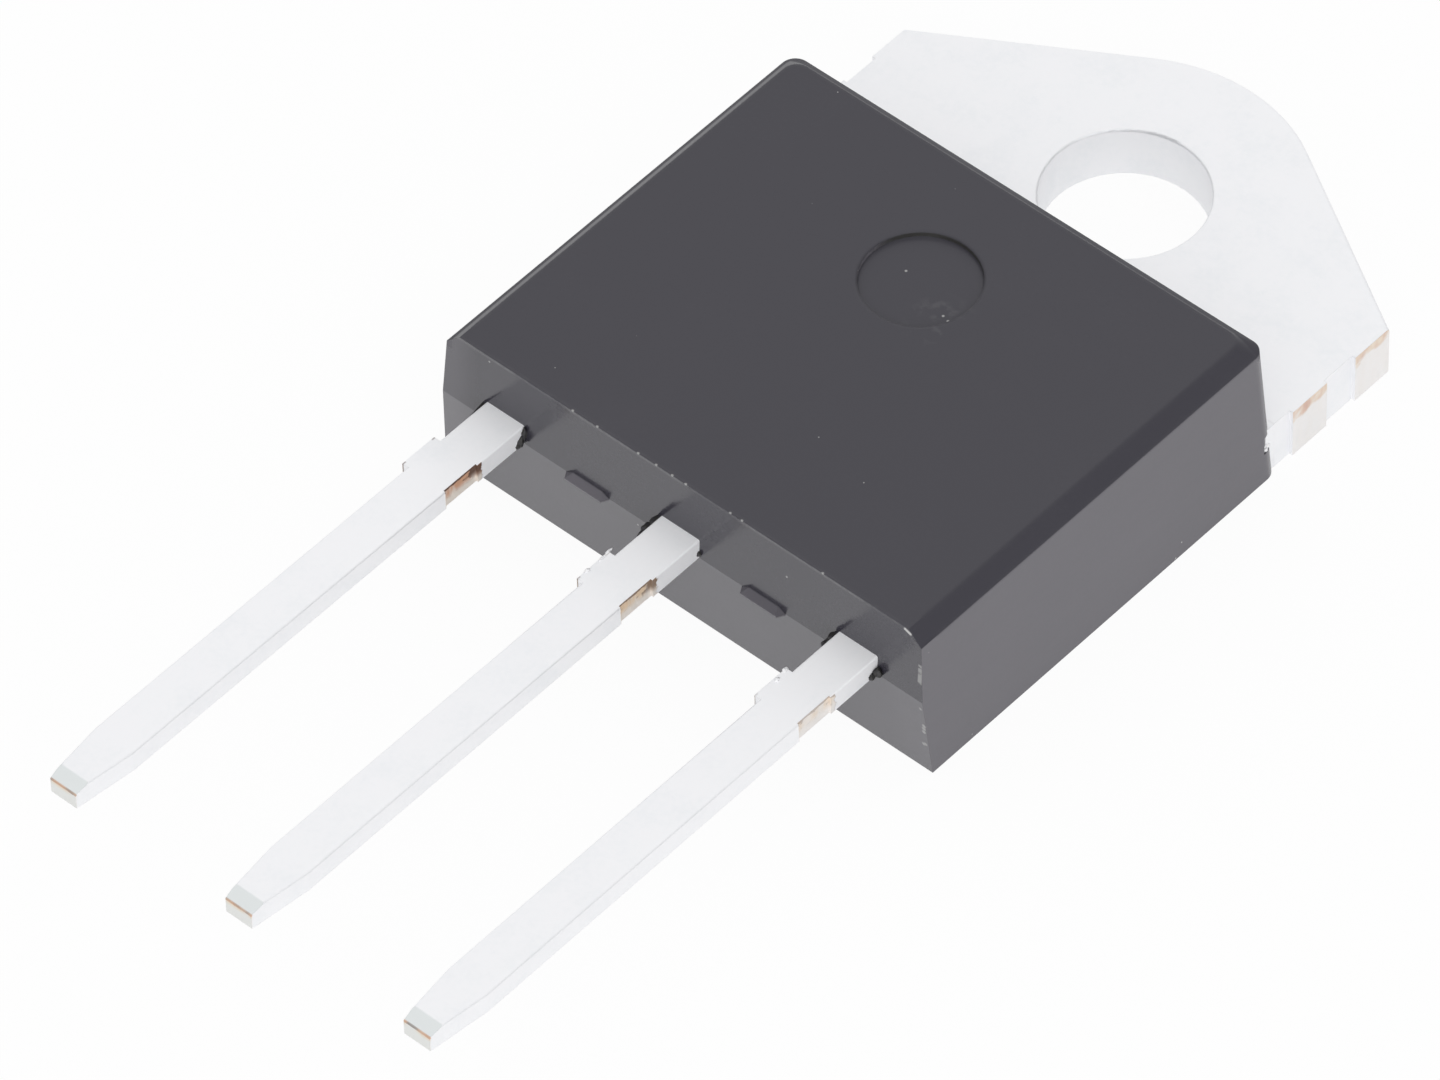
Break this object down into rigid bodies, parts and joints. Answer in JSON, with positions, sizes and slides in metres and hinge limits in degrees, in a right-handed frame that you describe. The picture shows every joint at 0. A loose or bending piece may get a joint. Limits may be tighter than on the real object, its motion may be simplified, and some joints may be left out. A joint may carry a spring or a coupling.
{
  "type": "triac",
  "caption": "Flat moulded alternating-current switch on a tinned metal tab with a mounting hole and a rounded end; straight flat leads side by side, the gate lead on one side.",
  "frame": {"origin": "axis of the mounting hole, on the back face that sits on the heat sink", "axes": "+Y towards the rounded end of the tab, leads along -Y, +Z out of the top of the body, +X across the leads with the gate lead on the +X side"},
  "size_m": [0.0154, 0.0356, 0.0046],
  "materials": {
    "epoxy": "dark grey epoxy moulding, satin",
    "tinned_tab": "tin plating over copper, satin",
    "tinned_lead": "tin plating over copper, satin, copper at the sheared ends",
    "solder": "dull solder",
    "alumina": "white ceramic plate",
    "silicon": "dark grey, polished",
    "clip_copper": "bare copper"
  },
  "bodies": {
    "root": {"moulded_body": "epoxy", "heatsink_tab": "tinned_tab", "left_lead": "tinned_lead", "centre_lead": "tinned_lead", "gate_lead": "tinned_lead", "tab_solder": "solder", "ceramic_insulator": "alumina", "pad_solder": "solder", "chip_solder": "solder", "triac_chip": "silicon", "main_clip": "clip_copper", "clip_chip_solder": "solder", "clip_lead_solder": "solder", "gate_clip": "clip_copper", "gate_chip_solder": "solder", "gate_lead_solder": "solder"}
  },
  "joints": []
}
